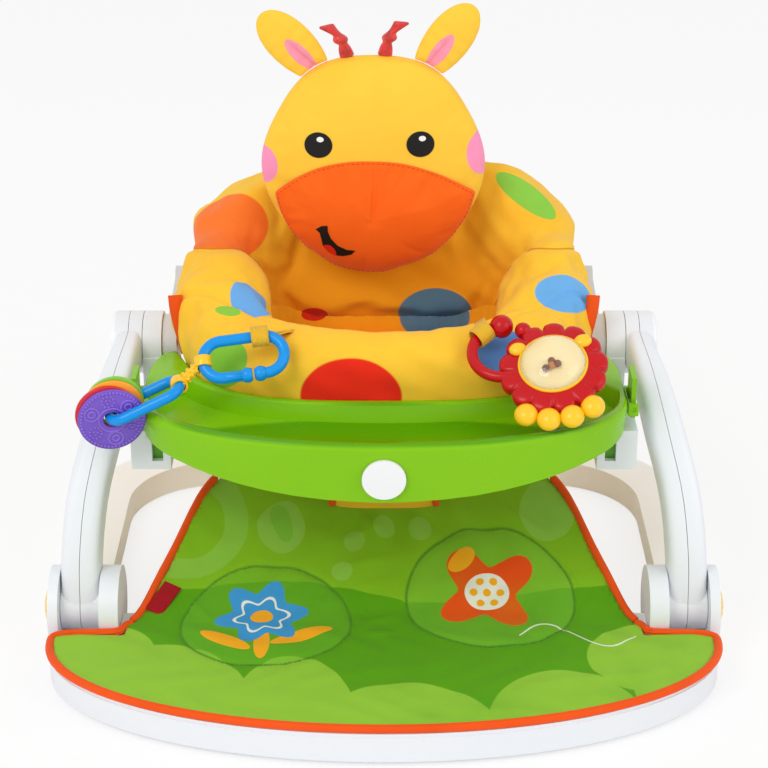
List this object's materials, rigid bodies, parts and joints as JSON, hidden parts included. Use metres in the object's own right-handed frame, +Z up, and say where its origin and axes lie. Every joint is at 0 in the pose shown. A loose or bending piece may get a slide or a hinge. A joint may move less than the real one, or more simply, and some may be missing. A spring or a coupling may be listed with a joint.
{
  "type": "baby floor seat",
  "caption": "Folding floor seat for a baby: padded ring on two arched legs over a floor mat base, with a lift-off toy tray and a giraffe head pillow.",
  "frame": {"origin": "centre of the bounding box on the floor, under the middle of the seat", "axes": "+X to the right seen from the front, +Y to the back, +Z up"},
  "size_m": [0.604, 0.558, 0.5233],
  "materials": {
    "white_plastic": "satin",
    "cap_white": "gloss",
    "cream_plastic": "satin",
    "frame_plastic": "matt",
    "steel": "brushed",
    "hoop_steel": "powder coat",
    "rubber": "matt",
    "button_yellow": "gloss",
    "mat_cloth": "printed weave",
    "piping_cloth": "woven edge",
    "tag_cloth": "woven label",
    "seat_cloth": "soft weave",
    "muzzle_cloth": "soft weave",
    "horn_ribbon": "satin ribbon",
    "webbing": "webbing",
    "tray_green": "gloss",
    "badge_white": "gloss",
    "rattle_red": "gloss",
    "clear_plastic": "clear",
    "toy_yellow": "gloss",
    "beads": "gloss",
    "link_blue": "gloss",
    "disc_purple": "satin",
    "disc_red": "satin",
    "disc_orange": "satin",
    "disc_green": "satin"
  },
  "bodies": {
    "base": {"base_plate": "white_plastic", "rear_ring": "cream_plastic", "hub_housing_left": "white_plastic", "hub_housing_right": "white_plastic", "lower_pins": "steel", "spring_washers": "steel", "housing_screws": "steel", "rubber_feet": "rubber", "mat_front": "mat_cloth", "mat_piping": "piping_cloth", "mat_ramp": "mat_cloth", "ramp_piping": "piping_cloth", "woven_tag": "tag_cloth"},
    "fold_button_left": {"fold_button_left": "button_yellow"},
    "fold_button_right": {"fold_button_right": "button_yellow"},
    "leg_left": {"leg_outer_shell_left": "white_plastic", "leg_inner_shell_left": "white_plastic", "leg_cap_left": "cap_white"},
    "leg_right": {"leg_outer_shell_right": "white_plastic", "leg_inner_shell_right": "white_plastic", "leg_cap_right": "cap_white"},
    "seat_ring": {"side_frame_left": "white_plastic", "side_frame_right": "white_plastic", "upper_pins": "steel", "ring_frame": "frame_plastic", "frame_screws": "steel", "bumper": "seat_cloth", "arm_pad_left": "seat_cloth", "arm_pad_right": "seat_cloth", "bindings": "piping_cloth", "crotch_panel": "seat_cloth", "seat_sling": "seat_cloth", "seat_cushion": "seat_cloth", "webbing_left": "webbing", "webbing_right": "webbing"},
    "backrest": {"back_frame": "hoop_steel", "back_pad": "seat_cloth", "head": "seat_cloth", "muzzle": "muzzle_cloth", "ear_left": "seat_cloth", "ear_right": "seat_cloth", "horns": "horn_ribbon"},
    "tray": {"tray": "tray_green", "tray_posts": "tray_green", "tray_badge": "badge_white", "latch_lugs": "tray_green"},
    "latch_tab_left": {"latch_tab_left": "tray_green"},
    "latch_tab_right": {"latch_tab_right": "tray_green"},
    "rattle": {"rattle_body": "rattle_red", "rattle_dome": "clear_plastic", "rattle_trim": "toy_yellow", "rattle_beads": "beads", "rattle_feet": "toy_yellow"},
    "teether": {"near_link": "link_blue", "link_strap": "toy_yellow", "far_link": "link_blue", "disc_purple": "disc_purple", "disc_red": "disc_red", "disc_orange": "disc_orange", "disc_green": "disc_green"}
  },
  "joints": [
    {"name": "leg_fold", "type": "hinge", "parent": "base", "child": "leg_left", "pos_m": [-0.268, -0.079, 0.038], "axis": [-1, 0, 0], "range_deg": [0, 35], "deforming": ["mat_ramp", "ramp_piping", "woven_tag", "crotch_panel", "seat_sling", "seat_cushion"]},
    {"name": "leg_fold_right", "type": "hinge", "parent": "base", "child": "leg_right", "pos_m": [0.268, -0.079, 0.038], "axis": [-1, 0, 0], "range_deg": [0, 35]},
    {"name": "ring_level", "type": "hinge", "parent": "leg_left", "child": "seat_ring", "pos_m": [-0.2345, 0.091, 0.221], "axis": [1, 0, 0], "range_deg": [0, 35]},
    {"name": "back_fold", "type": "hinge", "parent": "seat_ring", "child": "backrest", "pos_m": [-0.197, 0.091, 0.221], "axis": [1, 0, 0], "range_deg": [0, 60]},
    {"name": "tray_lift", "type": "slide", "parent": "seat_ring", "child": "tray", "axis": [0, 0, 1], "range_m": [0, 0.028], "deforming": ["webbing_left", "webbing_right"]},
    {"name": "latch_left", "type": "hinge", "parent": "tray", "child": "latch_tab_left", "pos_m": [-0.2166, -0.036, 0.219], "axis": [0, -1, 0], "range_deg": [0, 8], "stiffness_Nm_per_rad": 0.15, "springref_deg": -2.86},
    {"name": "latch_right", "type": "hinge", "parent": "tray", "child": "latch_tab_right", "pos_m": [0.2166, -0.036, 0.219], "axis": [0, 1, 0], "range_deg": [0, 8], "stiffness_Nm_per_rad": 0.15, "springref_deg": -2.86},
    {"name": "button_press_left", "type": "slide", "parent": "base", "child": "fold_button_left", "axis": [1, 0, 0], "range_m": [0, 0.004], "stiffness_N_per_m": 900, "springref_m": -0.002},
    {"name": "button_press_right", "type": "slide", "parent": "base", "child": "fold_button_right", "axis": [-1, 0, 0], "range_m": [0, 0.004], "stiffness_N_per_m": 900, "springref_m": -0.002},
    {"name": "rattle_swing", "type": "hinge", "parent": "tray", "child": "rattle", "pos_m": [0.0885, -0.035, 0.283], "axis": [-1, 0, 0], "range_deg": [0, 40]},
    {"name": "teether_swing", "type": "hinge", "parent": "tray", "child": "teether", "pos_m": [-0.1035, -0.049, 0.283], "axis": [0, 1, 0], "range_deg": [0, 45]}
  ],
  "couplings": [
    {"joint": "leg_fold_right", "follows": "leg_fold", "ratio": 1},
    {"joint": "ring_level", "follows": "leg_fold", "ratio": 1},
    {"joint": "teether_swing", "follows": "leg_fold", "ratio": 1.2856}
  ]
}
